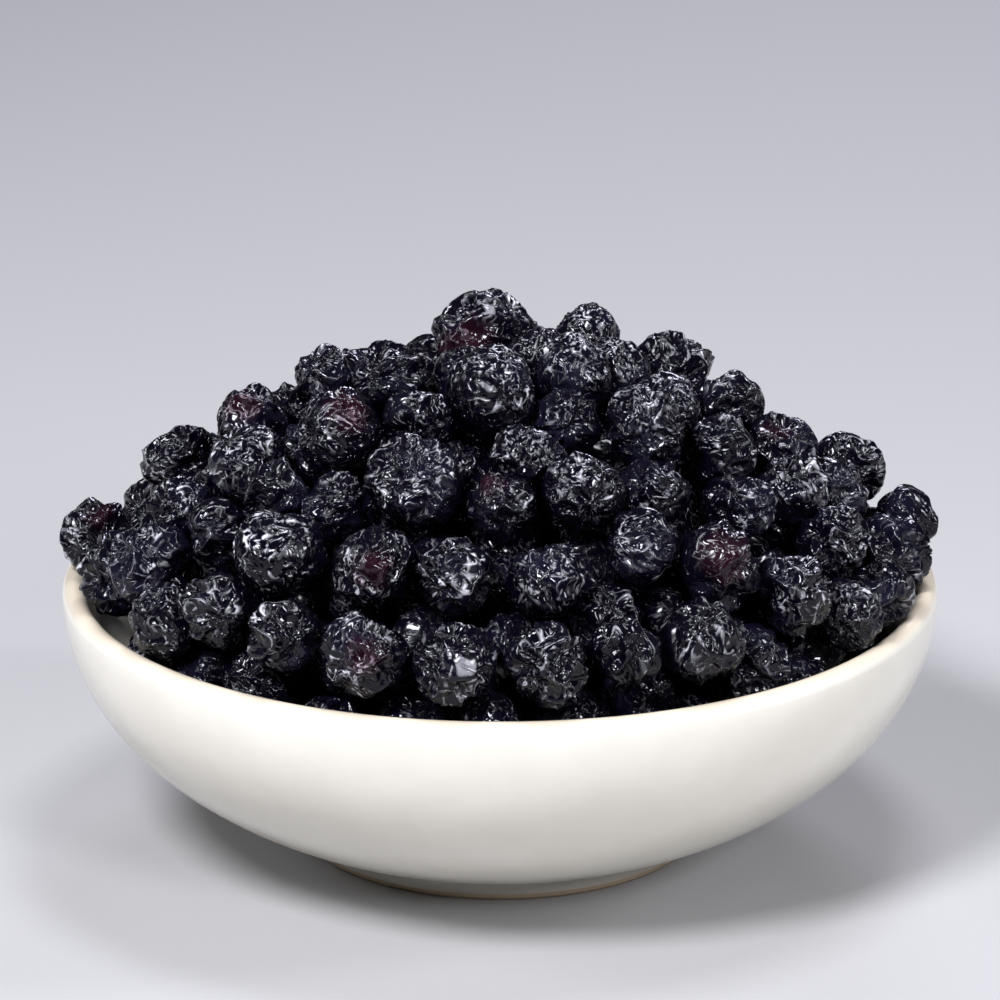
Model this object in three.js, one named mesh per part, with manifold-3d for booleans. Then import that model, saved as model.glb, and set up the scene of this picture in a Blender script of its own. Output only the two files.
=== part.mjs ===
// A small glazed bowl heaped with dried sour cherries.
// Millimetres, +Z up. The origin is the centre of the foot's underside.
import * as THREE from "three";
import { mergeVertices } from "three/addons/utils/BufferGeometryUtils.js";
import Module from "manifold-3d";

const wasm = await Module();
wasm.setup();

// The bowl
const rimHeight = 42;
const rimRadius = 67.5;
const wallThickness = 3.6;
const insideDepth = 36;
const footRadius = 31;
const footWidth = 4.5;
const footHeight = 3;
const footRecess = 1.2;
const footCorner = 0.6;
const bowlSides = 48;

// What follows from them: the lip is a half round on top of the wall
const lipRadius = wallThickness / 2;
const lipHeight = rimHeight - lipRadius;
const lipCircle = rimRadius - lipRadius;
const insideRadius = rimRadius - wallThickness;

// The heap: the middles of its outer cherries lie on a dome, or a little under it
const domeRadius = 62;
const domeRise = 31;
const domeFoot = rimHeight + 5.3;

// Where the heap is looked at from: the eye looks down one in three at a point on the bowl's axis
const aimHeight = domeFoot + 6.5;
const eyeDistance = 900;
const lookRun = 3 / Math.sqrt(10);
const lookDrop = 1 / Math.sqrt(10);

// Cherries seen from there: across and up from the aim point, diameter, and how far under the dome
const seenCherries = [
  // The skyline, from left to right
  [-62, -6, 12, 0], [-49, 5.5, 12.5, 0], [-38, 12, 11.5, 0], [-25.5, 17.5, 12, 0], [-16, 17.5, 12.5, 0],
  [-2.6, 25, 15, 0], [13, 24.5, 12, 0], [26.5, 19.5, 12.5, 0], [35, 14, 12, 0],
  [42.5, 8, 11.5, 0], [53, 3.5, 12, 0], [62, -5, 12.5, 0],
  // Under the skyline
  [-38, 5.5, 12.5, 0], [-24, 10, 14.5, 0], [-11.5, 13, 11, 1.5], [-1.5, 15, 14.5, 0], [11, 19.5, 12.5, 0],
  [9.5, 11.5, 11, 2], [21, 10.5, 14, 0], [33, 8, 12, 1], [44.5, 2.5, 12, 0],
  // The middle of the slope
  [-49, -2.5, 11, 1], [-42.5, -4.5, 10.5, 0], [-34, 0.5, 11, 0], [-26, -1.5, 11, 2.5], [-13.5, 2, 15, 0],
  [0.5, -0.5, 11, 2], [13, 0.5, 13, 0], [23.5, 1.5, 11, 1.5], [36.5, -1, 11.5, 1],
  // The lower slope
  [-53, -9.5, 13, 0], [-33, -8, 14.5, 0], [-19, -10.5, 13, 0], [-7, -11.5, 12, 0], [7.5, -12.5, 12, 0],
  [21.5, -7, 12, 0.5], [34, -10.5, 13.5, 0], [51, -7, 12, 0],
  // The front row, along the rim
  [-43.5, -17, 12, 0], [-33, -21, 11.5, 0], [-21, -24, 13, 0], [-7, -25, 13, 0], [7.5, -25.5, 13, 0],
  [19.5, -23, 11, 0], [31, -22, 13, 0], [43.5, -14, 12.5, 0],
];

// The other cherries, drawn at random where there is room: outside ones, ones in the gaps, inside ones
const smallestRadius = 5.5;
const radiusSpread = 1.5;
const outsideUnderDome = 2.5;
const gapUnderDome = 4;
const gapSpread = 3;
const insideUnderDome = 13;
const closestOutside = 0.74;
const closestInGaps = 0.62;
const closestInside = 0.86;
const triesOnDome = 6000;
const triesInside = 15000;

// Behind the skyline they lie lower, from one distance along Y to another, with a slope at each end
const behindDrop = 4.5;
const behindFrom = 4;
const behindTo = 58;
const behindSlopeNear = 8;
const behindSlopeFar = 20;

// How they settle against each other, the bowl and the dome
const settlingRounds = 260;
const roundsBetweenLooks = 10;
const nearby = 3;
const bowlGap = 0.35;
const furthestOut = 62;
const push = 0.5;
const hold = 0.15;

// Their forms: dents pressed into a ball, as shares of its radius
const formCount = 24;
const dentCount = 5;
const leastDent = 0.05;
const dentSpread = 0.11;
const narrowestDent = 0.45;
const dentNarrowing = 0.35;
const fullness = 1;

// The solid of the heap: a core, which falls away towards the rim, and the cherries that stand out of it
const coreUnderDome = 4.2;
const coreFall = 1;
const coreGap = 0.5;
const coreSides = 28;
const leastShown = 1.5;

// A seeded draw from 0 to 1
let seed = 46;
function random() {
  seed = (seed * 16807) % 2147483647;
  return seed / 2147483647;
}

// A random direction, or a random rotation where count is 4, as numbers whose squares add up to 1
function randomDirection(count) {
  for (;;) {
    const numbers = Array.from({ length: count }, () => 2 * random() - 1);
    const square = numbers.reduce((sum, n) => sum + n * n, 0);
    if (square > 0.04 && square < 1) return numbers.map((n) => n / Math.sqrt(square));
  }
}

const domeHeight = (x, y) => domeFoot + domeRise * (1 - (x * x + y * y) / (domeRadius * domeRadius));

function behindSkyline(y) {
  const near = (y - behindFrom) / behindSlopeNear;
  const far = (behindTo - y) / behindSlopeFar;
  return behindDrop * Math.min(Math.max(Math.min(near, far), 0), 1);
}

// The point that the eye sees at a place across and up from the aim point, on the dome or so far under it
function onDome(across, up, under) {
  const bend = domeRise / (domeRadius * domeRadius);
  const eyeY = -eyeDistance * lookRun;
  const eyeZ = aimHeight + eyeDistance * lookDrop;
  const wayY = up * lookDrop - eyeY;
  const wayZ = aimHeight + up * lookRun - eyeZ;
  const a = bend * (across * across + wayY * wayY);
  const b = 2 * bend * eyeY * wayY + wayZ;
  const c = eyeZ - domeFoot - domeRise + under + bend * eyeY * eyeY;
  const t = (-b - Math.sqrt(Math.max(b * b - 4 * a * c, 0))) / (2 * a);
  return [across * t, eyeY + wayY * t, eyeZ + wayZ * t];
}

function hasRoom(placed, x, y, z, r, closest) {
  return placed.every((o) => {
    const reach = closest * (r + o.r);
    const dx = x - o.x;
    const dy = y - o.y;
    const dz = z - o.z;
    return dx * dx + dy * dy + dz * dz >= reach * reach;
  });
}

function placeCherries() {
  const placed = seenCherries.map(([across, up, diameter, under]) => {
    const [x, y, z] = onDome(across, up, under);
    return { x, y, z, r: diameter / 2, home: [x, y, z] };
  });
  const layers = [
    { under: outsideUnderDome, spread: 0, closest: closestOutside },
    { under: gapUnderDome, spread: gapSpread, closest: closestInGaps },
  ];
  for (const { under, spread, closest } of layers) {
    for (let i = 0; i < triesOnDome; i++) {
      const x = domeRadius * (2 * random() - 1);
      const y = domeRadius * (2 * random() - 1);
      const r = smallestRadius + radiusSpread * random();
      const z = domeHeight(x, y) - under - spread * random() - behindSkyline(y);
      if (x * x + y * y > furthestOut * furthestOut) continue;
      if (hasRoom(placed, x, y, z, r, closest)) placed.push({ x, y, z, r });
    }
  }
  for (let i = 0; i < triesInside; i++) {
    const x = insideRadius * (2 * random() - 1);
    const y = insideRadius * (2 * random() - 1);
    const z = lipHeight - insideDepth + (insideDepth + domeRise) * random();
    const r = smallestRadius + radiusSpread * random();
    const flat = (x * x + y * y) / ((insideRadius - r) * (insideRadius - r));
    const deep = Math.max(lipHeight - z, 0) / (insideDepth - r);
    if (flat + deep * deep > 1 || z > domeHeight(x, y) - insideUnderDome - behindSkyline(y)) continue;
    if (hasRoom(placed, x, y, z, r, closestInside)) placed.push({ x, y, z, r });
  }
  return placed;
}

// Moves a cherry under its dome, and back inside the bowl or off its lip
function keepIn(o) {
  if (!o.home) o.z = Math.min(o.z, domeHeight(o.x, o.y) - outsideUnderDome - behindSkyline(o.y));
  const out = Math.sqrt(o.x * o.x + o.y * o.y);
  const r = o.r + bowlGap;
  let inwards = 1;
  if (o.z < lipHeight) {
    const flat = out / (insideRadius - r);
    const deep = (lipHeight - o.z) / (insideDepth - r);
    const reach = Math.sqrt(flat * flat + deep * deep);
    if (reach > 1) {
      inwards = 1 / reach;
      o.z = lipHeight - (lipHeight - o.z) / reach;
    }
  } else {
    const fromLip = out - lipCircle;
    const above = o.z - lipHeight;
    const clear = (r + lipRadius) / Math.sqrt(fromLip * fromLip + above * above);
    if (clear > 1) {
      inwards = 1 + ((clear - 1) * fromLip) / out;
      o.z = lipHeight + above * clear;
    }
    if (out * inwards > furthestOut) inwards = furthestOut / out;
  }
  o.x *= inwards;
  o.y *= inwards;
}

// Pushes two cherries apart where they overlap
function part(a, b) {
  const x = b.x - a.x;
  const y = b.y - a.y;
  const z = b.z - a.z;
  const touch = a.r + b.r;
  const near = x * x + y * y + z * z;
  if (near >= touch * touch) return;
  const shift = (push * (touch / Math.sqrt(near) - 1)) / 2;
  a.x -= x * shift;
  a.y -= y * shift;
  a.z -= z * shift;
  b.x += x * shift;
  b.y += y * shift;
  b.z += z * shift;
}

// The pairs that are close enough to touch within the next rounds
function closePairs(all) {
  return all.flatMap((a, i) =>
    all
      .slice(i + 1)
      .filter((b) => {
        const reach = a.r + b.r + nearby;
        const dx = b.x - a.x;
        const dy = b.y - a.y;
        const dz = b.z - a.z;
        return dx * dx + dy * dy + dz * dz < reach * reach;
      })
      .map((b) => [a, b])
  );
}

function settle(all) {
  let pairs = [];
  for (let round = 0; round < settlingRounds; round++) {
    if (round % roundsBetweenLooks === 0) pairs = closePairs(all);
    pairs.forEach(([a, b]) => part(a, b));
    for (const o of all) {
      if (o.home) {
        o.x += hold * (o.home[0] - o.x);
        o.y += hold * (o.home[1] - o.y);
        o.z += hold * (o.home[2] - o.z);
      }
      keepIn(o);
    }
  }
  return all;
}

// A form is a list of dents, each with its direction, its depth and the cosine at its edge
function drawForm() {
  return Array.from({ length: dentCount }, () => ({
    way: randomDirection(3),
    depth: leastDent + dentSpread * random(),
    edge: narrowestDent + dentNarrowing * random(),
  }));
}

const cherries = settle(placeCherries());
const forms = Array.from({ length: formCount }, drawForm);
for (const o of cherries) o.turn = randomDirection(4);

function solidOf(geometry) {
  geometry.deleteAttribute("normal");
  geometry.deleteAttribute("uv");
  const merged = mergeVertices(geometry, 1e-4);
  const vertProperties = merged.attributes.position.array;
  return new wasm.Manifold(new wasm.Mesh({ numProp: 3, vertProperties, triVerts: merged.index.array }));
}

function geometryOf(solid) {
  const { vertProperties, triVerts } = solid.getMesh();
  const geometry = new THREE.BufferGeometry();
  geometry.setAttribute("position", new THREE.BufferAttribute(vertProperties, 3));
  geometry.setIndex(new THREE.BufferAttribute(triVerts, 1));
  geometry.computeVertexNormals();
  return geometry;
}

// How far out the skin of a form is in a direction, as a share of the cherry's radius
function skinReach(form, way) {
  return form.reduce((reach, dent) => {
    const across = way.x * dent.way[0] + way.y * dent.way[1] + way.z * dent.way[2];
    const t = Math.max((across - dent.edge) / (1 - dent.edge), 0);
    return reach - dent.depth * t * t * (3 - 2 * t);
  }, fullness);
}

function cherrySolid(o, i) {
  const geometry = new THREE.SphereGeometry(1, 8, 5);
  const position = geometry.attributes.position;
  const turn = new THREE.Quaternion(...o.turn);
  const way = new THREE.Vector3();
  for (let v = 0; v < position.count; v++) {
    way.fromBufferAttribute(position, v).normalize();
    way.multiplyScalar(o.r * skinReach(forms[i % formCount], way)).applyQuaternion(turn);
    position.setXYZ(v, o.x + way.x, o.y + way.y, o.z + way.z);
  }
  return solidOf(geometry);
}

// Points on the bowl's inside, offset inwards, from the middle of the bottom up to the lip
function insideProfile(offset, steps) {
  return Array.from({ length: steps + 1 }, (_, i) => {
    const angle = (i / steps) * (Math.PI / 2);
    const out = (insideRadius - offset) * Math.sin(angle);
    return new THREE.Vector2(out, lipHeight - (insideDepth - offset) * Math.cos(angle));
  });
}

// A solid turned round the Z axis, from points of a radius and a height
function turned(profile, sides) {
  const geometry = new THREE.LatheGeometry(profile, sides);
  geometry.rotateX(Math.PI / 2);
  return geometry;
}

const coreTop = (out) => domeHeight(out, 0) - coreUnderDome - coreFall * (out / domeRadius) ** 8;

function coreSolid() {
  const widest = insideRadius - coreGap;
  const wall = insideProfile(coreGap, 6).filter(({ x, y }) => y < coreTop(x));
  const top = Array.from({ length: 9 }, (_, i) => {
    const out = widest * (1 - i / 8);
    return new THREE.Vector2(out, coreTop(out));
  });
  return solidOf(turned([...wall, ...top], coreSides));
}

// The heap: the inner cherries are one core, which the outer ones are sunk into
function heap() {
  const outer = cherries
    .map((o, i) => ({ o, i }))
    .filter(({ o }) => o.z + o.r > coreTop(Math.hypot(o.x, o.y)) + leastShown);
  const solid = outer.reduce((sum, { o, i }) => sum.add(cherrySolid(o, i)), coreSolid());
  const skin = new THREE.MeshStandardMaterial({ color: 0x2a2030, roughness: 0.35, metalness: 0 });
  const mesh = new THREE.Mesh(geometryOf(solid), skin);
  mesh.name = "cherries";
  return mesh;
}

// The bowl's profile runs from the middle of the underside over the foot, up the outside and over the lip
function bowl() {
  const outsideDepth = (lipHeight - footHeight) / Math.sqrt(1 - (footRadius / rimRadius) ** 2);
  const point = (out, height) => new THREE.Vector2(out, height);
  const footInside = footRadius - footWidth;
  const foot = [
    point(0, footRecess),
    point(footInside - footRecess, footRecess),
    point(footInside, 0),
    point(footRadius - footCorner, 0),
    point(footRadius, footCorner),
  ];
  const lowest = Math.asin(footRadius / rimRadius);
  const outside = Array.from({ length: 11 }, (_, i) => {
    const angle = lowest + (i / 10) * (Math.PI / 2 - lowest);
    return point(rimRadius * Math.sin(angle), lipHeight - outsideDepth * Math.cos(angle));
  });
  const lip = Array.from({ length: 5 }, (_, i) => {
    const angle = ((i + 1) / 6) * Math.PI;
    return point(lipCircle + lipRadius * Math.cos(angle), lipHeight + lipRadius * Math.sin(angle));
  });
  const inside = insideProfile(0, 12).reverse();
  const profile = [...foot, ...outside, ...lip, ...inside];
  const glaze = new THREE.MeshStandardMaterial({ color: 0xe9e4d8, roughness: 0.2, metalness: 0 });
  const mesh = new THREE.Mesh(turned(profile, bowlSides), glaze);
  mesh.name = "bowl";
  return mesh;
}

const group = new THREE.Group();
group.add(bowl(), heap());

export default group;
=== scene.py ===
"""A small glazed bowl heaped with dried sour cherries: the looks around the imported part. Metres, +Z up.

The cherries lie where the part's own rule puts them, so the rule is worked out again here, in millimetres.
"""

import math

import bmesh
import bpy
import numpy as np
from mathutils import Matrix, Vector


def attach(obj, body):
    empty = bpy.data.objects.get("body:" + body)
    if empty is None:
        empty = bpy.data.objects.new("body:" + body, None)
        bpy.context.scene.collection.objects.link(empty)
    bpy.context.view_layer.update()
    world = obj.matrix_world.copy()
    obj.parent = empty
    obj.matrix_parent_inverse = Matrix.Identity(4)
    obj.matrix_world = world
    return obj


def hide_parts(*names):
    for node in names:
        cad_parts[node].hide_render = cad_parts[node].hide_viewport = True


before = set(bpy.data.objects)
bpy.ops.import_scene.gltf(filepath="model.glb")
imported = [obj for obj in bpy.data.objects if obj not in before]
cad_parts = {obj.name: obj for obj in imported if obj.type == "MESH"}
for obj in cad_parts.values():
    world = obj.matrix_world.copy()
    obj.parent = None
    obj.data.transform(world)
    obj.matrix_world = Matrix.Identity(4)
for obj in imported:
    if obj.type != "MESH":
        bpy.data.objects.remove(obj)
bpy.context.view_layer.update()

MM = 0.001

# The bowl, as the part has it, in millimetres
RIM_HEIGHT = 42
RIM_RADIUS = 67.5
WALL_THICKNESS = 3.6
INSIDE_DEPTH = 36
FOOT_RADIUS = 31
FOOT_WIDTH = 4.5
FOOT_HEIGHT = 3
FOOT_RECESS = 1.2
FOOT_CORNER = 0.6
LIP_RADIUS = WALL_THICKNESS / 2
LIP_HEIGHT = RIM_HEIGHT - LIP_RADIUS
LIP_CIRCLE = RIM_RADIUS - LIP_RADIUS
INSIDE_RADIUS = RIM_RADIUS - WALL_THICKNESS
BOWL_SIDES = 144
OUTSIDE_STEPS = 24
LIP_STEPS = 12
INSIDE_STEPS = 28
MERGE_GAP = 0.01

# The heap's dome, and the eye, which looks down 1 in 3 at a point on the bowl's axis
DOME_RADIUS = 62
DOME_RISE = 31
DOME_FOOT = RIM_HEIGHT + 5.3
AIM_HEIGHT = DOME_FOOT + 6.5
EYE_DISTANCE = 900
LOOK_RUN = 3 / math.sqrt(10)
LOOK_DROP = 1 / math.sqrt(10)
PICTURE_PIXELS = 1000
PIXELS_A_MM = 6.5
PICTURE_WIDTH = PICTURE_PIXELS / PIXELS_A_MM

# Cherries that the eye sees: across and up from the aim point, diameter, how far under the dome, and the kind
# of skin
SEEN_CHERRIES = [
    # The skyline, from left to right
    (-62, -6, 12, 0, "folded"), (-49, 5.5, 12.5, 0, "mixed"), (-38, 12, 11.5, 0, "folded"),
    (-25.5, 17.5, 12, 0, "mixed"), (-16, 17.5, 12.5, 0, "star"), (-2.6, 25, 15, 0, "folded"),
    (13, 24.5, 12, 0, "fine"), (26.5, 19.5, 12.5, 0, "folded"),
    (35, 14, 12, 0, "mixed"), (42.5, 8, 11.5, 0, "mixed"), (53, 3.5, 12, 0, "folded"),
    (62, -5, 12.5, 0, "smooth"),
    # Under the skyline
    (-38, 5.5, 12.5, 0, "fine"), (-24, 10, 14.5, 0, "mixed"), (-11.5, 13, 11, 1.5, "mixed"),
    (-1.5, 15, 14.5, 0, "fine"), (11, 19.5, 12.5, 0, "fine"), (9.5, 11.5, 11, 2, "mixed"),
    (21, 10.5, 14, 0, "folded"), (33, 8, 12, 1, "mixed"), (44.5, 2.5, 12, 0, "mixed"),
    # The middle of the slope
    (-49, -2.5, 11, 1, "mixed"), (-42.5, -4.5, 10.5, 0, "star"), (-34, 0.5, 11, 0, "smooth"),
    (-26, -1.5, 11, 2.5, "mixed"), (-13.5, 2, 15, 0, "folded"), (0.5, -0.5, 11, 2, "mixed"),
    (13, 0.5, 13, 0, "mixed"), (23.5, 1.5, 11, 1.5, "mixed"), (36.5, -1, 11.5, 1, "mixed"),
    # The lower slope
    (-53, -9.5, 13, 0, "folded"), (-33, -8, 14.5, 0, "fine"), (-19, -10.5, 13, 0, "mixed"),
    (-7, -11.5, 12, 0, "folded"), (7.5, -12.5, 12, 0, "mixed"), (21.5, -7, 12, 0.5, "mixed"),
    (34, -10.5, 13.5, 0, "smooth"), (51, -7, 12, 0, "folded"),
    # The front row, along the rim
    (-43.5, -17, 12, 0, "mixed"), (-33, -21, 11.5, 0, "smooth"), (-21, -24, 13, 0, "folded"),
    (-7, -25, 13, 0, "folded"), (7.5, -25.5, 13, 0, "folded"), (19.5, -23, 11, 0, "star"),
    (31, -22, 13, 0, "mixed"), (43.5, -14, 12.5, 0, "folded"),
]

# The top one is wider than the part's ball, and lies aside of it and lower
TOP_CHERRY = 5
TOP_WIDER = 1.24
TOP_ASIDE = 2.4
TOP_LOWER = 0.7

# Where the skin is wine red: across and up from the aim point, and how far the red reaches
RED_SPOTS = [
    (-4.6, 24.5, 5), (-9.2, 23.5, 4), (-23, 14.6, 5), (-20.8, -24, 4), (-19.2, -10.5, 4),
    (34.6, -8.5, 5), (-40, 15, 4), (42.3, 12.3, 3.5), (-1.5, 3, 3), (-61.8, -1.5, 3.5),
]

# The rule that draws and settles the other cherries
SEED = 46
DRAW_FACTOR = 16807
DRAW_LIMIT = 2147483647
SHORTEST_SQUARE = 0.04
SMALLEST_RADIUS = 5.5
RADIUS_SPREAD = 1.5
OUTSIDE_UNDER_DOME = 2.5
GAP_UNDER_DOME = 4
GAP_SPREAD = 3
INSIDE_UNDER_DOME = 13
CLOSEST_OUTSIDE = 0.74
CLOSEST_IN_GAPS = 0.62
CLOSEST_INSIDE = 0.86
TRIES_ON_DOME = 6000
TRIES_INSIDE = 15000
BEHIND_DROP = 4.5
BEHIND_FROM = 4
BEHIND_TO = 58
BEHIND_SLOPE_NEAR = 8
BEHIND_SLOPE_FAR = 20
SETTLING_ROUNDS = 260
ROUNDS_BETWEEN_LOOKS = 10
NEARBY = 3
BOWL_GAP = 0.35
FURTHEST_OUT = 62
PUSH = 0.5
HOLD = 0.15

# Their forms: dents pressed into a ball, as shares of its radius
FORM_COUNT = 24
DENT_COUNT = 5
LEAST_DENT = 0.05
DENT_SPREAD = 0.11
NARROWEST_DENT = 0.45
DENT_NARROWING = 0.35

# Cherries this near to the dome, or this high and this far out at the rim, are fine meshes
OUTER_UNDER_DOME = 11
SHOWS_ABOVE = 34
SHOWS_BEYOND = 50
OUTER_CUTS = 23
INNER_CUTS = 3
OUTER_PIECES = 8

seed = SEED


def draw():
    """A seeded draw from 0 to 1."""
    global seed
    seed = seed * DRAW_FACTOR % DRAW_LIMIT
    return seed / DRAW_LIMIT


def draw_direction(count):
    """A random direction, or with count 4 a random rotation: numbers whose squares add up to 1."""
    while True:
        numbers = [2 * draw() - 1 for _ in range(count)]
        square = 0
        for number in numbers:
            square += number * number
        if SHORTEST_SQUARE < square < 1:
            return [number / math.sqrt(square) for number in numbers]


def dome_height(x, y):
    return DOME_FOOT + DOME_RISE * (1 - (x * x + y * y) / (DOME_RADIUS * DOME_RADIUS))


def behind_skyline(y):
    """How much lower the cherries behind the skyline lie, with a slope at each end."""
    near = (y - BEHIND_FROM) / BEHIND_SLOPE_NEAR
    far = (BEHIND_TO - y) / BEHIND_SLOPE_FAR
    return BEHIND_DROP * min(max(min(near, far), 0), 1)


def on_dome(across, up, under):
    """The point that the eye sees across and up from the aim point, on the dome or so far under it."""
    bend = DOME_RISE / (DOME_RADIUS * DOME_RADIUS)
    eye_y = -EYE_DISTANCE * LOOK_RUN
    eye_z = AIM_HEIGHT + EYE_DISTANCE * LOOK_DROP
    way_y = up * LOOK_DROP - eye_y
    way_z = AIM_HEIGHT + up * LOOK_RUN - eye_z
    a = bend * (across * across + way_y * way_y)
    b = 2 * bend * eye_y * way_y + way_z
    c = eye_z - DOME_FOOT - DOME_RISE + under + bend * eye_y * eye_y
    t = (-b - math.sqrt(max(b * b - 4 * a * c, 0))) / (2 * a)
    return across * t, eye_y + way_y * t, eye_z + way_z * t


class Cherry:
    """One cherry: middle and radius, home and kind of skin where it has them, form and turn."""

    def __init__(self, x, y, z, r, home=None, kind=None):
        self.x = x
        self.y = y
        self.z = z
        self.r = r
        self.home = home
        self.kind = kind
        self.form = None
        self.turn = None


def has_room(placed, x, y, z, r, closest):
    for other in placed:
        reach = closest * (r + other.r)
        dx = x - other.x
        dy = y - other.y
        dz = z - other.z
        if dx * dx + dy * dy + dz * dz < reach * reach:
            return False
    return True


def place_cherries():
    placed = []
    for across, up, diameter, under, kind in SEEN_CHERRIES:
        home = on_dome(across, up, under)
        placed.append(Cherry(*home, diameter / 2, home, kind))
    layers = [(OUTSIDE_UNDER_DOME, 0, CLOSEST_OUTSIDE), (GAP_UNDER_DOME, GAP_SPREAD, CLOSEST_IN_GAPS)]
    for under, spread, closest in layers:
        for _ in range(TRIES_ON_DOME):
            x = DOME_RADIUS * (2 * draw() - 1)
            y = DOME_RADIUS * (2 * draw() - 1)
            r = SMALLEST_RADIUS + RADIUS_SPREAD * draw()
            z = dome_height(x, y) - under - spread * draw() - behind_skyline(y)
            if x * x + y * y > FURTHEST_OUT * FURTHEST_OUT:
                continue
            if has_room(placed, x, y, z, r, closest):
                placed.append(Cherry(x, y, z, r))
    for _ in range(TRIES_INSIDE):
        x = INSIDE_RADIUS * (2 * draw() - 1)
        y = INSIDE_RADIUS * (2 * draw() - 1)
        z = LIP_HEIGHT - INSIDE_DEPTH + (INSIDE_DEPTH + DOME_RISE) * draw()
        r = SMALLEST_RADIUS + RADIUS_SPREAD * draw()
        flat = (x * x + y * y) / ((INSIDE_RADIUS - r) * (INSIDE_RADIUS - r))
        deep = max(LIP_HEIGHT - z, 0) / (INSIDE_DEPTH - r)
        if flat + deep * deep > 1 or z > dome_height(x, y) - INSIDE_UNDER_DOME - behind_skyline(y):
            continue
        if has_room(placed, x, y, z, r, CLOSEST_INSIDE):
            placed.append(Cherry(x, y, z, r))
    return placed


def keep_in(o):
    """Moves a cherry under its dome, and back inside the bowl or off its lip."""
    if o.home is None:
        o.z = min(o.z, dome_height(o.x, o.y) - OUTSIDE_UNDER_DOME - behind_skyline(o.y))
    out = math.sqrt(o.x * o.x + o.y * o.y)
    r = o.r + BOWL_GAP
    inwards = 1
    if o.z < LIP_HEIGHT:
        flat = out / (INSIDE_RADIUS - r)
        deep = (LIP_HEIGHT - o.z) / (INSIDE_DEPTH - r)
        reach = math.sqrt(flat * flat + deep * deep)
        if reach > 1:
            inwards = 1 / reach
            o.z = LIP_HEIGHT - (LIP_HEIGHT - o.z) / reach
    else:
        from_lip = out - LIP_CIRCLE
        above = o.z - LIP_HEIGHT
        clear = (r + LIP_RADIUS) / math.sqrt(from_lip * from_lip + above * above)
        if clear > 1:
            inwards = 1 + ((clear - 1) * from_lip) / out
            o.z = LIP_HEIGHT + above * clear
        if out * inwards > FURTHEST_OUT:
            inwards = FURTHEST_OUT / out
    o.x *= inwards
    o.y *= inwards


def part(a, b):
    """Pushes two cherries apart where they overlap."""
    x = b.x - a.x
    y = b.y - a.y
    z = b.z - a.z
    touch = a.r + b.r
    near = x * x + y * y + z * z
    if near >= touch * touch:
        return
    shift = (PUSH * (touch / math.sqrt(near) - 1)) / 2
    a.x -= x * shift
    a.y -= y * shift
    a.z -= z * shift
    b.x += x * shift
    b.y += y * shift
    b.z += z * shift


def close_pairs(cherries):
    """The pairs that are close enough to touch within the next rounds."""
    pairs = []
    for i, a in enumerate(cherries):
        for b in cherries[i + 1:]:
            reach = a.r + b.r + NEARBY
            dx = b.x - a.x
            dy = b.y - a.y
            dz = b.z - a.z
            if dx * dx + dy * dy + dz * dz < reach * reach:
                pairs.append((a, b))
    return pairs


def settle(cherries):
    pairs = []
    for turn in range(SETTLING_ROUNDS):
        if turn % ROUNDS_BETWEEN_LOOKS == 0:
            pairs = close_pairs(cherries)
        for a, b in pairs:
            part(a, b)
        for o in cherries:
            if o.home is not None:
                o.x += HOLD * (o.home[0] - o.x)
                o.y += HOLD * (o.home[1] - o.y)
                o.z += HOLD * (o.home[2] - o.z)
            keep_in(o)
    return cherries


def draw_form():
    """A form is a list of dents, each with its direction, its depth and the cosine at its edge."""
    form = []
    for _ in range(DENT_COUNT):
        way = draw_direction(3)
        depth = LEAST_DENT + DENT_SPREAD * draw()
        edge = NARROWEST_DENT + DENT_NARROWING * draw()
        form.append((way, depth, edge))
    return form


cherries = settle(place_cherries())
forms = [draw_form() for _ in range(FORM_COUNT)]
for number, cherry in enumerate(cherries):
    cherry.form = forms[number % FORM_COUNT]
    cherry.turn = draw_direction(4)


# Wrinkled skin

# Each kind of skin: its folds' spacing and height in mm, how much they run out from the stalk's pit as rays,
# its wrinkles' spacing in mm, how much of it has few of them, and how full the cherry is
KINDS = {
    "fine": (3.6, 0.6, 0.0, 1.6, 0.1, 1.0),
    "mixed": (4.2, 1.2, 0.25, 1.8, 0.45, 0.99),
    "folded": (4.8, 1.6, 0.1, 2.1, 0.3, 0.99),
    "star": (4.4, 1.6, 0.6, 1.9, 0.6, 0.98),
    "smooth": (6.5, 1.7, 0.1, 2.2, 0.7, 1.0),
}
OTHER_KINDS = ["mixed", "folded", "fine", "mixed", "smooth", "folded", "mixed", "star", "fine"]

# The folds: their height goes up and down in patches, and between the large ones are small ones
FOLD_SHARPNESS = 3.0
CREST_ROUNDING = 0.003
CREST_LOWERING = 0.055
FOLD_WANDER = 1.1
WANDER_SIZE = 4
STAR_STRAIGHTER = 0.6
HEIGHT_MIDDLE = 0.75
HEIGHT_SPREAD = 0.5
HEIGHT_PATCH = 6
FOLD_LOWERING = 0.7
SMALL_FOLDS = 1.9
SMALL_FOLD_SHARE = 0.42
SMALL_FOLD_MIDDLE = 0.5
SMALL_FOLD_ROOM = 1.2

# The stalk's pit: its depth as a share of the radius, the cosine at its edge, and how softly folds turn there
PIT_DEPTH = 0.1
PIT_EDGE = 0.86
PIT_SOFTNESS = 0.06

# The wrinkles: their height in mm, their width, and how much and how soon they bend
WRINKLE_HEIGHT = 0.3
WRINKLE_WIDTH = 0.24
WRINKLE_BEND = 0.3
WRINKLE_BEND_SIZE = 1.1

# Their two nets: each one's spacing as a share of theirs and its place in the noise, the same two for the
# patches where it is broken off, the noise where it is gone and where it is whole, and its height
WRINKLE_NETS = [
    (1.0, 9, 1.1, 17, -0.3, 0.2, 1.0),
    (0.8, 29, 0.9, 57, -0.1, 0.35, 0.8),
]

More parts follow.
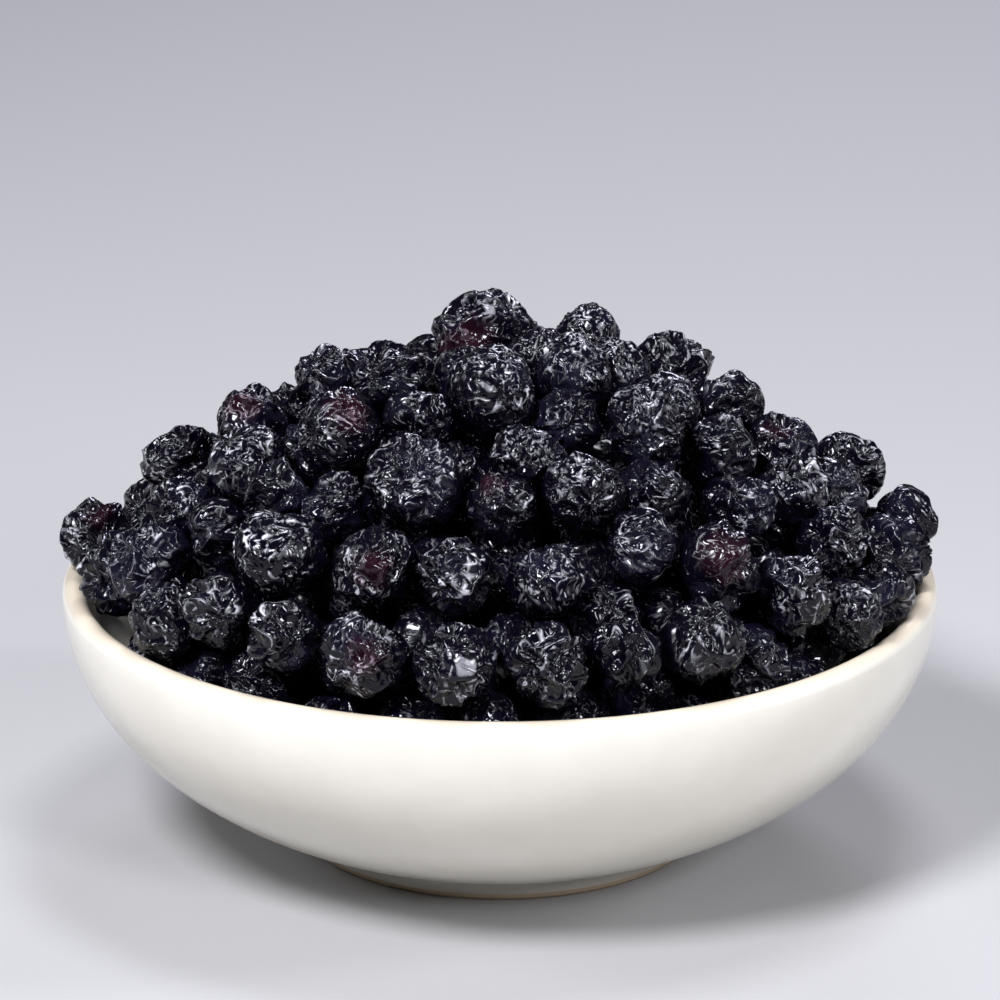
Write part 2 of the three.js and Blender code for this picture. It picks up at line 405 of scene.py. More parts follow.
# Patches of the skin: their size in mm, their place in the noise, and the noise where they start and are full
BUSY_PATCHES = (4.5, 3, -0.3, 0.5)
QUIET_PATCHES = (3, 43, -0.5, 0.5)
# Patches where the folds' ridges get painted highlight
RIDGE_PATCHES = (3.5, 73, -0.4, 0.25)

# The other patterns' places in the noise
HEIGHT_PLACE = 11
SMALL_FOLD_PLACE = 5
WRINKLE_BEND_PLACE = 3
FOLD_BEND_PLACE = 0

# How wrinkled the skin is: a plain kind takes from it, and both patches leave some everywhere
BUSY_MORE = 0.75
BUSY_LESS = 1.5
BUSY_LEAST = 0.05
QUIET_LEAST = 0.3

# Painted highlight on the folds' ridges: the crests' heights where it starts, and the small folds' share
RIDGE_START = 0.88
SMALL_RIDGE_START = 0.9
SMALL_RIDGE_SHARE = 0.5

# Each cherry has its own place in the noise, by steps along three rows
SPOT_STEP = 37.3
SPOT_ROWS = np.array([7, 11, 13])
AXIS_STEP = 31.7

# The ball's vertices are crowded towards the side that shows, and wrinkles die away on the hidden side
CROWDING = 1.5
HIDDEN_SIDE = -0.6
SHOWN_SIDE = -0.1
FRONT_TURN = 4

# Painted highlight goes on the skin where it faces away from this height on the axis, in mm, and where no
# cherry is near to shade it, and less on cherries deep under the dome
HEAP_MIDDLE = 25
OPEN_GAP = 2.6
CLOSED_GAP = 0.2
TURNED_AWAY = -0.1
TURNED_OUT = 0.6
HIGHLIGHT_ON_DOME = 1.1
HIGHLIGHT_LEAST = 0.3
HIGHLIGHT_DEPTH = 6

# The wine red fades over this share of its reach, with an edge that the noise makes uneven
RED_FADE = 1.5
RED_UNEVEN = 0.5
RED_UNEVEN_SIZE = 1.7

# The seeded noise
NOISE_CELLS = 256
NOISE_GAIN = 1.6

# The sheet that a ball's six sides lie on for the bake
SHEET_COLUMNS = 3
SHEET_ROWS = 2
SHEET_MARGIN = 0.04

TABLE = np.random.default_rng(5).permutation(NOISE_CELLS)
SLOPES = np.random.default_rng(6).normal(size=(NOISE_CELLS, 3))
SLOPES /= np.linalg.norm(SLOPES, axis=1, keepdims=True)


def noise(points):
    """Smooth seeded noise, about -1 to 1, with one wave or so to a unit of length."""
    last = NOISE_CELLS - 1
    corner = np.floor(points).astype(int)
    inside = points - corner
    fade = inside ** 3 * (inside * (inside * 6 - 15) + 10)
    total = np.zeros(len(points))
    for step in np.ndindex(2, 2, 2):
        x, y, z = ((corner + step) & last).T
        slope = SLOPES[TABLE[(TABLE[(TABLE[x] + y) & last] + z) & last]]
        share = np.prod(np.where(step, fade, 1 - fade), axis=1)
        total += share * np.sum(slope * (inside - step), axis=1)
    return total * NOISE_GAIN


def crests(values):
    """Rounded crests along the lines where the noise is 0."""
    return np.clip(1 - FOLD_SHARPNESS * (np.sqrt(values ** 2 + CREST_ROUNDING) - CREST_LOWERING), 0, 1)


def eased(values, low, high):
    """From 0 at the low value to 1 at the high one, with soft ends."""
    t = np.clip((values - low) / (high - low), 0, 1)
    return t * t * (3 - 2 * t)


def patches(spot, size, place, start, full):
    """Soft patches, from 0 to 1, of a size in mm, at one of the noise's places."""
    return eased(noise(spot / size + place), start, full)


def wander(spot, place):
    return np.column_stack([noise(spot + place + AXIS_STEP * axis) for axis in range(3)])


def wrinkles(spot, pitch):
    """Short bent wrinkles, from 0 to 1: nets of crests, broken off here and there."""
    bent = spot + WRINKLE_BEND * pitch * wander(spot / (WRINKLE_BEND_SIZE * pitch), WRINKLE_BEND_PLACE)
    total = np.zeros(len(spot))
    for size, place, break_size, break_place, start, full, height in WRINKLE_NETS:
        net = eased(1 - np.abs(noise(bent / (size * pitch) + place)) / WRINKLE_WIDTH, 0, 1)
        net *= patches(spot, break_size * pitch, break_place, start, full)
        total = np.maximum(total, height * net)
    return total


def rotated(ways, turn):
    """The directions turned by a rotation that is given as x, y, z and w."""
    axis = np.array(turn[:3])
    twice = 2 * np.cross(axis, ways)
    return ways + turn[3] * twice + np.cross(axis, twice)


def wine_red(places):
    """How red the skin is: near the points on the heap where it is thin, fading within a few mm."""
    share = np.zeros(len(places))
    for point, size in red_points:
        gap = np.linalg.norm(places - point, axis=1) / size
        uneven = RED_UNEVEN * noise(places / RED_UNEVEN_SIZE)
        share = np.maximum(share, np.clip(RED_FADE - RED_FADE * gap + uneven, 0, 1))
    return share


def outwards(cherry):
    """The direction in which a cherry shows: out of the dome, and towards the eye in front."""
    bend = 2 * DOME_RISE / (DOME_RADIUS * DOME_RADIUS)
    way = np.array([bend * cherry.x, bend * cherry.y, 1])
    way /= np.linalg.norm(way)
    to_eye = np.array([0, -LOOK_RUN, LOOK_DROP])
    way += to_eye * min(max(way @ to_eye * FRONT_TURN, 0), 1)
    return way / np.linalg.norm(way)


def cherry_middle(cherry):
    return np.array([cherry.x, cherry.y, cherry.z])


def painted_highlight_share(cherry, ways, places):
    """How much painted highlight the skin gets, from 0 to 1: most outside on the heap, none in the shade
    where a cherry is near.
    """
    own_middle = cherry_middle(cherry)
    out = own_middle - [0, 0, HEAP_MIDDLE]
    out /= np.linalg.norm(out)
    gap = np.full(len(places), OPEN_GAP)
    for other in cherries:
        middle = cherry_middle(other)
        apart = np.linalg.norm(middle - own_middle)
        if 0 < apart < cherry.r + other.r + OPEN_GAP:
            gap = np.minimum(gap, np.linalg.norm(places - middle, axis=1) - other.r)
    under = dome_height(cherry.x, cherry.y) - cherry.z
    raised = min(max(HIGHLIGHT_ON_DOME - under / HIGHLIGHT_DEPTH, HIGHLIGHT_LEAST), 1)
    turned = eased(rotated(ways, cherry.turn) @ out, TURNED_AWAY, TURNED_OUT)
    return raised * eased(gap, CLOSED_GAP, OPEN_GAP) * turned


def crowded(ways, middle):
    """The directions moved towards a middle one, in proportion as on a map of the globe from its far pole."""
    along = ways @ middle
    nothing = 1e-6
    flat = (ways - along[:, None] * middle) / np.maximum(1 + along, nothing)[:, None] / CROWDING
    square = np.sum(flat * flat, axis=1)[:, None]
    return ((1 - square) * middle + 2 * flat) / (1 + square)


def own_places(number, cherry, ways, star):
    """The place of each vertex on the cherry's own skin, in mm, and how much it lies in the stalk's pit."""
    stalk = np.array(cherry.form[0][0])
    side = np.cross(stalk, [0.3, 0.9, -0.2])
    side /= np.linalg.norm(side)
    own = ways @ np.stack([side, np.cross(stalk, side), stalk]).T
    # Rays of a star keep their direction from the pit, where the other folds wander
    from_pit = np.sqrt(own[:, 0] ** 2 + own[:, 1] ** 2 + PIT_SOFTNESS)[:, None]
    flat = own[:, :2] * (1 - star + star / from_pit)
    wandering = 1 - STAR_STRAIGHTER * star
    spot = cherry.r * np.column_stack([flat, own[:, 2] * wandering])
    spot += SPOT_STEP * (number % SPOT_ROWS)
    spot += FOLD_WANDER * wandering * wander(spot / WANDER_SIZE, FOLD_BEND_PLACE)
    return spot, eased(own[:, 2], PIT_EDGE, 1)


def skin(number, cherry, ways):
    """Each vertex's place in mm and on the skin, its red, the painted highlight on its crests and wrinkles,
    how wrinkled it is, and that times its share of painted highlight.
    """
    kind = cherry.kind or OTHER_KINDS[number % len(OTHER_KINDS)]
    spacing, height, star, pitch, plain, full = KINDS[kind]
    x, y, z, w = cherry.turn
    middle = rotated(outwards(cherry), [-x, -y, -z, w])
    ways = crowded(ways, middle)
    reach = np.full(len(ways), full)
    for way, depth, edge in cherry.form:
        reach -= depth * eased(ways @ np.array(way), edge, 1)
    spot, pit = own_places(number, cherry, ways, star)
    reach -= PIT_DEPTH * pit
    patchy = HEIGHT_MIDDLE + HEIGHT_SPREAD * noise(spot / HEIGHT_PATCH + HEIGHT_PLACE)
    big = crests(noise(spot / spacing))
    small = crests(noise(spot * SMALL_FOLDS / spacing + SMALL_FOLD_PLACE))
    between = SMALL_FOLD_SHARE * (small - SMALL_FOLD_MIDDLE) * (SMALL_FOLD_ROOM - big)
    relief = height * patchy * (big - FOLD_LOWERING + between)
    # Wrinkles gather in patches, and die away on the hidden side, where the ball has few vertices
    size, place, start, most = BUSY_PATCHES
    busy = eased(noise(spot / size + place) + BUSY_MORE - BUSY_LESS * plain, start, most)
    busy = BUSY_LEAST + (1 - BUSY_LEAST) * busy
    busy *= QUIET_LEAST + (1 - QUIET_LEAST) * patches(spot, *QUIET_PATCHES)
    fine = wrinkles(spot, pitch) * busy * eased(ways @ middle, HIDDEN_SIDE, SHOWN_SIDE)
    relief += WRINKLE_HEIGHT * (fine - 0.5)
    # The crests that get painted highlight: the fine wrinkles, and in patches the folds' ridges
    ridge = np.maximum(eased(big, RIDGE_START, 1), SMALL_RIDGE_SHARE * eased(small, SMALL_RIDGE_START, 1))
    ridge *= patches(spot, *RIDGE_PATCHES)
    crest_highlight = np.maximum(fine, ridge * min(height, 1))
    places = rotated(ways * (cherry.r * reach + relief)[:, None], cherry.turn)
    if number == TOP_CHERRY:
        places = places * [TOP_WIDER, 1, 1] + [TOP_ASIDE, 0, -TOP_LOWER]
    places += cherry_middle(cherry)
    # How much painted highlight each vertex gets
    highlight_share = painted_highlight_share(cherry, ways, places)
    return places, spot, wine_red(places), crest_highlight * highlight_share, busy, busy * highlight_share


def ball(cuts):
    """A ball of square faces made from a cube, whose six sides lie side by side on the bake's sheet."""
    bm = bmesh.new()
    bmesh.ops.create_cube(bm, size=2)
    sheet = bm.loops.layers.uv.new("OFBake")
    width = 1 - 2 * SHEET_MARGIN
    for side, face in enumerate(bm.faces):
        for loop, (u, v) in zip(face.loops, ((0, 0), (1, 0), (1, 1), (0, 1))):
            across = (side % SHEET_COLUMNS + SHEET_MARGIN + u * width) / SHEET_COLUMNS
            up = (side // SHEET_COLUMNS + SHEET_MARGIN + v * width) / SHEET_ROWS
            loop[sheet].uv = across, up
    bmesh.ops.subdivide_edges(bm, edges=bm.edges[:], cuts=cuts, use_grid_fill=True)
    for vert in bm.verts:
        vert.co = Vector([math.tan(c * math.pi / 4) for c in vert.co]).normalized()
    bmesh.ops.recalc_face_normals(bm, faces=bm.faces[:])
    mesh = bpy.data.meshes.new("ball")
    bm.to_mesh(mesh)
    bm.free()
    return mesh


def read(things, what, width):
    values = np.zeros(len(things) * width, np.float32)
    things.foreach_get(what, values)
    return values.reshape(-1, width)


def linked(name, data):
    thing = bpy.data.objects.new(name, data)
    bpy.context.scene.collection.objects.link(thing)
    return thing


def cherry_piece(name, chosen, cuts, material):
    """Cherries in one piece: a ball for each, whose vertices are moved to its wrinkled skin."""
    shape = ball(cuts)
    bm = bmesh.new()
    for _ in chosen:
        bm.from_mesh(shape)
    mesh = bpy.data.meshes.new(name)
    bm.to_mesh(mesh)
    bm.free()
    ways = read(shape.vertices, "co", 3).astype(float)
    skins = [skin(number, cherries[number], ways) for number in chosen]
    places, spots, wine, crest_highlight, busy, highlight_share = (np.concatenate(values) for values in zip(*skins))
    mesh.vertices.foreach_set("co", (places * MM).astype(np.float32).ravel())
    layer = mesh.attributes.new("skin_spot", "FLOAT_VECTOR", "POINT")
    layer.data.foreach_set("vector", spots.astype(np.float32).ravel())
    # The attributes: wine red, the crests' painted highlight, how wrinkled the skin is, and that times its
    # share of painted highlight
    for label, values in (("wine", wine), ("crest_highlight", crest_highlight), ("busy", busy), ("highlight_share", highlight_share)):
        layer = mesh.attributes.new(label, "FLOAT", "POINT")
        layer.data.foreach_set("value", values.astype(np.float32))
    columns = math.ceil(math.sqrt(len(chosen)))
    sheet = mesh.uv_layers["OFBake"]
    one = read(shape.uv_layers["OFBake"].data, "uv", 2)
    corners = [(one + (i % columns, i // columns)) / columns for i in range(len(chosen))]
    sheet.data.foreach_set("uv", np.concatenate(corners).astype(np.float32).ravel())
    mesh.shade_smooth()
    mesh.materials.append(material)
    piece = linked(name, mesh)
    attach(piece, "root")
    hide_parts("cherries")


# Materials

# The patterns' sizes in mm: the skin's bends, breaks, patches of painted highlight, gloss and bloom, and the
# glaze's mottling and waves. The breaks' places are steps in the noise, and their fades and the bends' reach
# are shares
BEND_SIZE = 1.9
BEND_REACH = (0.35, 0.35, 0.35)
FOLD_BREAK_SIZE = 0.9
FOLD_BREAK_FADE = 0.12
FOLD_BREAK_PLACE = (13.3, 57.9, 29.1)
WRINKLE_BREAKS = 1.2
WRINKLE_BREAK_FADE = 0.13
WRINKLE_BREAK_PLACE = (41.3, 17.9, 63.1)
HIGHLIGHT_PATCH_SIZE = 2.8
GLOSS_SIZE = 4
BLOOM_SIZE = 11
SKIN_BUMP = 0.4
MOTTLE_SIZE = 9
GLAZE_WAVE_SIZE = 14
GLAZE_BUMP = 0.4

# The glaze is thin this far down from the rim, and there is none below the foot's edge
THIN_GLAZE = 1.4
BARE_BELOW = 0.9
GLAZED_ABOVE = 1.3

# Their colours
CREASE = "04030b"
BLOOM = "1d1b2e"
WINE = "1c0812"
# Painted highlight on the skin's crests, and the same on wine red skin
PAINTED_HIGHLIGHT = "eeedf4"
PAINTED_HIGHLIGHT_ON_WINE = "c4a6b6"
GLAZE_DARKER = "d1ccbf"
GLAZE_LIGHTER = "dedacf"
GLAZE_AT_LIP = "bda98b"
BARE_CLAY = "bfa98c"
FLOOR = "a09f9e"
COOL_LIGHT = "f4f6ff"
BACK_LIGHT = "e9e8ff"
STUDIO = "c8ccd4"

# A Mix node's sockets for colours have numbers
FIRST = 6
SECOND = 7
MIXED = 2


def linear(colour):
    """An sRGB hex colour as a linear one."""
    parts = [int(colour[i:i + 2], 16) / 255 for i in (0, 2, 4)]
    return [c / 12.92 if c <= 0.04045 else ((c + 0.055) / 1.055) ** 2.4 for c in parts] + [1]


def add(tree, kind, links=None, **settings):
    """Adds a node, with its settings, and with a value or a link for each socket by its name or number."""
    node = tree.nodes.new(kind)
    for name, value in settings.items():
        setattr(node, name, value)
    for socket, value in (links or {}).items():
        if isinstance(value, bpy.types.NodeSocket):
            tree.links.new(value, node.inputs[socket])
        else:
            node.inputs[socket].default_value = value
    return node


def new_material(name):
    material = bpy.data.materials.new(name)
    material.use_nodes = True
    material.node_tree.nodes.clear()
    return material, material.node_tree


def finish_material(tree, links):
    surface = add(tree, "ShaderNodeBsdfPrincipled", links)
    add(tree, "ShaderNodeOutputMaterial", {"Surface": surface.outputs["BSDF"]})


def broken_off(tree, lines, spot, place, scale, gap, fade):
    """The lines of a pattern, broken off where another noise is low."""
    away = add(tree, "ShaderNodeVectorMath", {0: spot, 1: place}, operation="ADD")
    other = add(tree, "ShaderNodeTexNoise", {"Vector": away.outputs[0], "Scale": scale, "Detail": 0.0})
    whole = add(tree, "ShaderNodeMapRange", {
        "Value": other.outputs["Fac"], "From Min": gap, "From Max": gap + fade,
    }, interpolation_type="SMOOTHSTEP")
    left = add(tree, "ShaderNodeMath", {0: lines, 1: whole.outputs["Result"]}, operation="MULTIPLY")
    return left.outputs[0]


def folds(tree, spot, size, bands, gap):
    """Rows of short folds in a material: the contour lines of a noise."""
    waves = add(tree, "ShaderNodeTexNoise", {"Vector": spot, "Scale": 1 / size, "Detail": 0.0})
    many = add(tree, "ShaderNodeMath", {0: waves.outputs["Fac"], 1: 2.0 * bands}, operation="MULTIPLY")
    rows = add(tree, "ShaderNodeMath", {0: many.outputs[0], 1: 1.0}, operation="PINGPONG")
    line = add(tree, "ShaderNodeMapRange", {
        "Value": rows.outputs[0], "From Min": 0.5, "From Max": 0.95,
    }, interpolation_type="SMOOTHSTEP")
    return broken_off(
        tree, line.outputs["Result"], spot, FOLD_BREAK_PLACE, 1 / FOLD_BREAK_SIZE, gap, FOLD_BREAK_FADE)


def fine_wrinkles(tree, spot, spacing, width, gap):
    """Fine wrinkles in a material: bent crests where a noise is at its middle."""
    waves = add(tree, "ShaderNodeTexNoise", {"Vector": spot, "Scale": 1 / spacing, "Detail": 0.0})
    off = add(tree, "ShaderNodeMath", {0: waves.outputs["Fac"], 1: 0.5}, operation="SUBTRACT")
    size = add(tree, "ShaderNodeMath", {0: off.outputs[0]}, operation="ABSOLUTE")
    line = add(tree, "ShaderNodeMapRange", {
        "Value": size.outputs[0], "From Min": 0.0, "From Max": width, "To Min": 1.0, "To Max": 0.0,
    }, interpolation_type="SMOOTHSTEP")
    return broken_off(
        tree, line.outputs["Result"], spot, WRINKLE_BREAK_PLACE, WRINKLE_BREAKS / spacing, gap,
        WRINKLE_BREAK_FADE)


def dried_cherry_skin():
    """Dried cherry skin: near-black, painted highlights on the crests, sticky gloss, wine red where it is
    thin.
    """
    material, tree = new_material("dried_cherry_skin")
    place = add(tree, "ShaderNodeTexCoord").outputs["Object"]
    spot = add(tree, "ShaderNodeAttribute", attribute_name="skin_spot").outputs["Vector"]
    # The wine red, the crests' painted highlight, how wrinkled the skin is, and that times its share of
    # painted highlight
    wine, crest_highlight, busy, highlight_share = (
        add(tree, "ShaderNodeAttribute", attribute_name=name).outputs["Fac"]
        for name in ("wine", "crest_highlight", "busy", "highlight_share")
    )
    wobble = add(tree, "ShaderNodeTexNoise", {"Vector": spot, "Scale": 1 / BEND_SIZE, "Detail": 0.0})
    shift = add(tree, "ShaderNodeVectorMath", {
        0: wobble.outputs["Color"], 1: (0.5, 0.5, 0.5),
    }, operation="SUBTRACT")
    bent = add(tree, "ShaderNodeVectorMath", {
        0: shift.outputs[0], 1: BEND_REACH, 2: spot,
    }, operation="MULTIPLY_ADD").outputs[0]
    larger = folds(tree, bent, size=3.9, bands=4.6, gap=0.49)
    smaller = fine_wrinkles(tree, bent, spacing=1.15, width=0.12, gap=0.5)
    fine = add(tree, "ShaderNodeMath", {0: larger, 1: smaller}, operation="MAXIMUM").outputs[0]
    depth = add(tree, "ShaderNodeMapRange", {"Value": busy, "To Min": 0.35, "To Max": 1.0})
    height = add(tree, "ShaderNodeMath", {0: fine, 1: depth.outputs["Result"]}, operation="MULTIPLY")
    bump = add(tree, "ShaderNodeBump", {
        "Strength": 1.0, "Distance": SKIN_BUMP * MM, "Height": height.outputs[0],
    })
    # Painted highlight: the crests are paler where the skin faces out and no cherry shades it, most of all in
    # patches of noise and on the folds' ridges
    fine = add(tree, "ShaderNodeMath", {0: fine, 1: highlight_share}, operation="MULTIPLY").outputs[0]
    highlight_noise = add(tree, "ShaderNodeTexNoise", {"Vector": spot, "Scale": 1 / HIGHLIGHT_PATCH_SIZE, "Detail": 0.0})
    highlight_patches = add(tree, "ShaderNodeMapRange", {
        "Value": highlight_noise.outputs["Fac"], "From Min": 0.42, "From Max": 0.62, "To Min": 0.1, "To Max": 0.9,
    })
    ridges = add(tree, "ShaderNodeMapRange", {"Value": crest_highlight, "From Min": 0.5, "From Max": 0.95})
    most = add(tree, "ShaderNodeMath", {
        0: highlight_patches.outputs["Result"], 1: ridges.outputs["Result"],
    }, operation="MAXIMUM")
    bright = add(tree, "ShaderNodeMath", {0: fine, 1: most.outputs[0]}, operation="MULTIPLY")
    edge = add(tree, "ShaderNodeMapRange", {
        "Value": crest_highlight, "From Min": 0.75, "From Max": 1.0, "To Max": 0.22,
    })
    pale = add(tree, "ShaderNodeMath", {
        0: bright.outputs[0], 1: edge.outputs["Result"],
    }, operation="MAXIMUM")
    # The creases are near-black, with a thin bloom in patches
    dusted = add(tree, "ShaderNodeTexNoise", {"Vector": place, "Scale": 1 / (BLOOM_SIZE * MM), "Detail": 2.0})
    bloom = add(tree, "ShaderNodeMapRange", {
        "Value": dusted.outputs["Fac"], "From Min": 0.5, "From Max": 0.72, "To Max": 0.35,
    })
    crease = add(tree, "ShaderNodeMix", {
        "Factor": bloom.outputs["Result"], FIRST: linear(CREASE), SECOND: linear(BLOOM),
    }, data_type="RGBA")
    thin = add(tree, "ShaderNodeMix", {
        "Factor": wine, FIRST: crease.outputs[MIXED], SECOND: linear(WINE),
    }, data_type="RGBA")
    # The painted highlight's colour, pinker on wine red skin, mixed over the dark skin
    highlight_tone = add(tree, "ShaderNodeMix", {
        "Factor": wine, FIRST: linear(PAINTED_HIGHLIGHT), SECOND: linear(PAINTED_HIGHLIGHT_ON_WINE),
    }, data_type="RGBA")
    colour = add(tree, "ShaderNodeMix", {
        "Factor": pale.outputs[0], FIRST: thin.outputs[MIXED], SECOND: highlight_tone.outputs[MIXED],
    }, data_type="RGBA")
    gloss = add(tree, "ShaderNodeTexNoise", {"Vector": spot, "Scale": 1 / GLOSS_SIZE, "Detail": 2.0})
    rough = add(tree, "ShaderNodeMapRange", {
        "Value": gloss.outputs["Fac"], "From Min": 0.3, "From Max": 0.7, "To Min": 0.1, "To Max": 0.2,
    })
    finish_material(tree, {
        "Base Color": colour.outputs[MIXED],
        "Roughness": rough.outputs["Result"],
        "Normal": bump.outputs["Normal"],
        "IOR": 1.36,
    })
    return material


def glaze():
    """Off-white glaze on stoneware: glossy, faintly mottled, warmer at the thin lip, bare under the foot."""
    material, tree = new_material("off_white_glaze")
    place = add(tree, "ShaderNodeTexCoord").outputs["Object"]
    height = add(tree, "ShaderNodeSeparateXYZ", {0: place}).outputs["Z"]
    mottle = add(tree, "ShaderNodeTexNoise", {
        "Vector": place, "Scale": 1 / (MOTTLE_SIZE * MM), "Detail": 4.0,
    })
    tone = add(tree, "ShaderNodeMix", {
        "Factor": mottle.outputs["Fac"], FIRST: linear(GLAZE_DARKER), SECOND: linear(GLAZE_LIGHTER),
    }, data_type="RGBA")
    thin = add(tree, "ShaderNodeMapRange", {
        "Value": height, "To Max": 0.55,
        "From Min": (RIM_HEIGHT - THIN_GLAZE) * MM, "From Max": RIM_HEIGHT * MM,
    }, interpolation_type="SMOOTHSTEP")
    lip = add(tree, "ShaderNodeMix", {
        "Factor": thin.outputs["Result"], FIRST: tone.outputs[MIXED], SECOND: linear(GLAZE_AT_LIP),
    }, data_type="RGBA")
    bare = add(tree, "ShaderNodeMapRange", {
        "Value": height, "To Min": 1.0, "To Max": 0.0,
        "From Min": BARE_BELOW * MM, "From Max": GLAZED_ABOVE * MM,
    })
    clay = add(tree, "ShaderNodeMix", {
        "Factor": bare.outputs["Result"], FIRST: lip.outputs[MIXED], SECOND: linear(BARE_CLAY),
    }, data_type="RGBA")
    rough = add(tree, "ShaderNodeMapRange", {"Value": bare.outputs["Result"], "To Min": 0.14, "To Max": 0.85})
    waves = add(tree, "ShaderNodeTexNoise", {
        "Vector": place, "Scale": 1 / (GLAZE_WAVE_SIZE * MM), "Detail": 1.0,
    })
    bump = add(tree, "ShaderNodeBump", {
        "Strength": 0.5, "Distance": GLAZE_BUMP * MM, "Height": waves.outputs["Fac"],
    })
    finish_material(tree, {
        "Base Color": clay.outputs[MIXED],
        "Roughness": rough.outputs["Result"],
        "Normal": bump.outputs["Normal"],
        "IOR": 1.5,
    })
    return material


def bowl_piece():
    """The bowl, spun from the part's own profile with more steps."""
    outside_depth = (LIP_HEIGHT - FOOT_HEIGHT) / math.sqrt(1 - (FOOT_RADIUS / RIM_RADIUS) ** 2)
    lowest = math.asin(FOOT_RADIUS / RIM_RADIUS)
    foot_inside = FOOT_RADIUS - FOOT_WIDTH
    profile = [(0, FOOT_RECESS), (foot_inside - FOOT_RECESS, FOOT_RECESS), (foot_inside, 0)]
    profile += [(FOOT_RADIUS - FOOT_CORNER, 0), (FOOT_RADIUS, FOOT_CORNER)]
    for i in range(OUTSIDE_STEPS + 1):
        angle = lowest + i / OUTSIDE_STEPS * (math.pi / 2 - lowest)
        profile.append((RIM_RADIUS * math.sin(angle), LIP_HEIGHT - outside_depth * math.cos(angle)))
    for i in range(1, LIP_STEPS):
        angle = i / LIP_STEPS * math.pi
        profile.append((LIP_CIRCLE + LIP_RADIUS * math.cos(angle), LIP_HEIGHT + LIP_RADIUS * math.sin(angle)))
    for i in range(INSIDE_STEPS + 1):
        angle = (1 - i / INSIDE_STEPS) * math.pi / 2
        profile.append((INSIDE_RADIUS * math.sin(angle), LIP_HEIGHT - INSIDE_DEPTH * math.cos(angle)))
    bm = bmesh.new()
    points = [bm.verts.new((out * MM, 0, height * MM)) for out, height in profile]
    lines = [bm.edges.new(pair) for pair in zip(points, points[1:])]
    bmesh.ops.spin(bm, geom=points + lines, cent=(0, 0, 0), axis=(0, 0, 1), angle=2 * math.pi,
                   steps=BOWL_SIDES, use_merge=True)
    bmesh.ops.remove_doubles(bm, verts=bm.verts[:], dist=MERGE_GAP * MM)
    bmesh.ops.recalc_face_normals(bm, faces=bm.faces[:])
    mesh = bpy.data.meshes.new("bowl_body")
    bm.to_mesh(mesh)
    bm.free()
    mesh.shade_smooth()
    mesh.materials.append(glaze())
    piece = linked("bowl_body", mesh)
    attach(piece, "root")
    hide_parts("bowl")


def near_dome(cherry):
    return dome_height(cherry.x, cherry.y) - behind_skyline(cherry.y) - cherry.z < OUTER_UNDER_DOME


def shows_at_rim(cherry):
    return cherry.z > SHOWS_ABOVE and math.hypot(cherry.x, cherry.y) > SHOWS_BEYOND


def red_point(across, up):
    """The point on a cherry that the eye sees across and up from the aim point."""
    eye = np.array([0, -EYE_DISTANCE * LOOK_RUN, AIM_HEIGHT + EYE_DISTANCE * LOOK_DROP])
    way = np.array([across, up * LOOK_DROP, AIM_HEIGHT + up * LOOK_RUN]) - eye
    way /= np.linalg.norm(way)
    hits = []
    for cherry in cherries:
        middle = cherry_middle(cherry) - eye
        along = middle @ way
        inside = cherry.r ** 2 - middle @ middle + along ** 2
        if inside > 0:
            hits.append(along - math.sqrt(inside))
    return eye + min(hits) * way


bowl_piece()
red_points = [(red_point(across, up), size) for across, up, size in RED_SPOTS]
skin_material = dried_cherry_skin()
outer = [i for i, o in enumerate(cherries) if near_dome(o) or shows_at_rim(o)]
inner = [i for i in range(len(cherries)) if i not in outer]
for number in range(OUTER_PIECES):
    cherry_piece(f"cherries_{number + 1}", outer[number::OUTER_PIECES], OUTER_CUTS, skin_material)
cherry_piece("cherries_inside", inner, INNER_CUTS, skin_material)


# The floor, the lights and the camera

FLOOR_SIZE = 4
STUDIO_STRENGTH = 0.08
SENSOR_WIDTH = 36
CLOSEST_SHOWN = 0.05


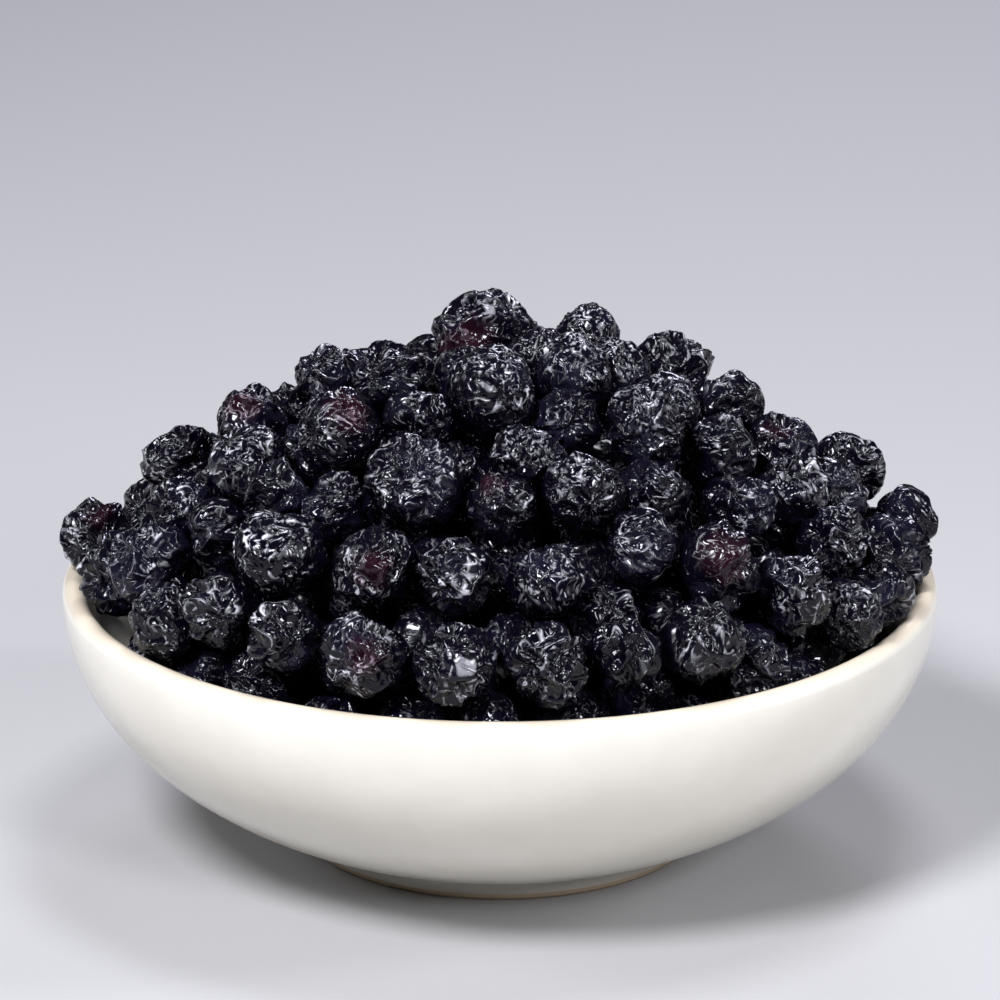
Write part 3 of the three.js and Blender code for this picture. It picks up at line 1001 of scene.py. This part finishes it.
def floor():
    bm = bmesh.new()
    bmesh.ops.create_grid(bm, x_segments=1, y_segments=1, size=FLOOR_SIZE)
    mesh = bpy.data.meshes.new("floor")
    bm.to_mesh(mesh)
    bm.free()
    material, tree = new_material("pale_floor")
    finish_material(tree, {"Base Color": linear(FLOOR), "Roughness": 0.8})
    mesh.materials.append(material)
    ground = linked("floor", mesh)


def softbox(name, way, distance, width, height, watts, colour=COOL_LIGHT):
    """A soft light in a direction from the heap, turned towards it."""
    light = bpy.data.lights.new(name, "AREA")
    light.shape = "ELLIPSE"
    light.size = width
    light.size_y = height
    light.energy = watts
    light.color = linear(colour)[:3]
    lamp = linked(name, light)
    aim = Vector((0, 0, AIM_HEIGHT * MM))
    lamp.location = aim + Vector(way).normalized() * distance
    lamp.rotation_euler = (lamp.location - aim).to_track_quat("Z", "Y").to_euler()


floor()
# Each light's direction from the heap, its distance, width and height in metres, and its watts
softbox("key", (-0.5, -0.8, 1.0), 0.9, 0.26, 0.26, 12.5)
softbox("front", (0.55, -1.0, 0.6), 0.9, 0.16, 0.24, 4.5)
softbox("top", (0.15, 0.1, 1.0), 0.8, 0.3, 0.22, 3.5)
softbox("right", (1.0, -0.1, 0.5), 0.9, 0.14, 0.28, 3.2)
softbox("left", (-1.0, 0.1, 0.45), 0.9, 0.14, 0.28, 2.4)
softbox("back", (0.2, 1.0, 0.6), 1.0, 0.4, 0.14, 3.4, BACK_LIGHT)

world = bpy.data.worlds.new("studio")
world.use_nodes = True
world.node_tree.nodes["Background"].inputs["Color"].default_value = linear(STUDIO)
world.node_tree.nodes["Background"].inputs["Strength"].default_value = STUDIO_STRENGTH
bpy.context.scene.world = world
bpy.context.scene.view_settings.view_transform = "Standard"

camera = bpy.data.cameras.new("camera")
camera.sensor_width = SENSOR_WIDTH
camera.lens = SENSOR_WIDTH * EYE_DISTANCE / PICTURE_WIDTH
camera.clip_start = CLOSEST_SHOWN
eye = linked("camera", camera)
eye.location = (0, -EYE_DISTANCE * LOOK_RUN * MM, (AIM_HEIGHT + EYE_DISTANCE * LOOK_DROP) * MM)
eye.rotation_euler = (math.atan2(LOOK_RUN, LOOK_DROP), 0, 0)
bpy.context.scene.camera = eye
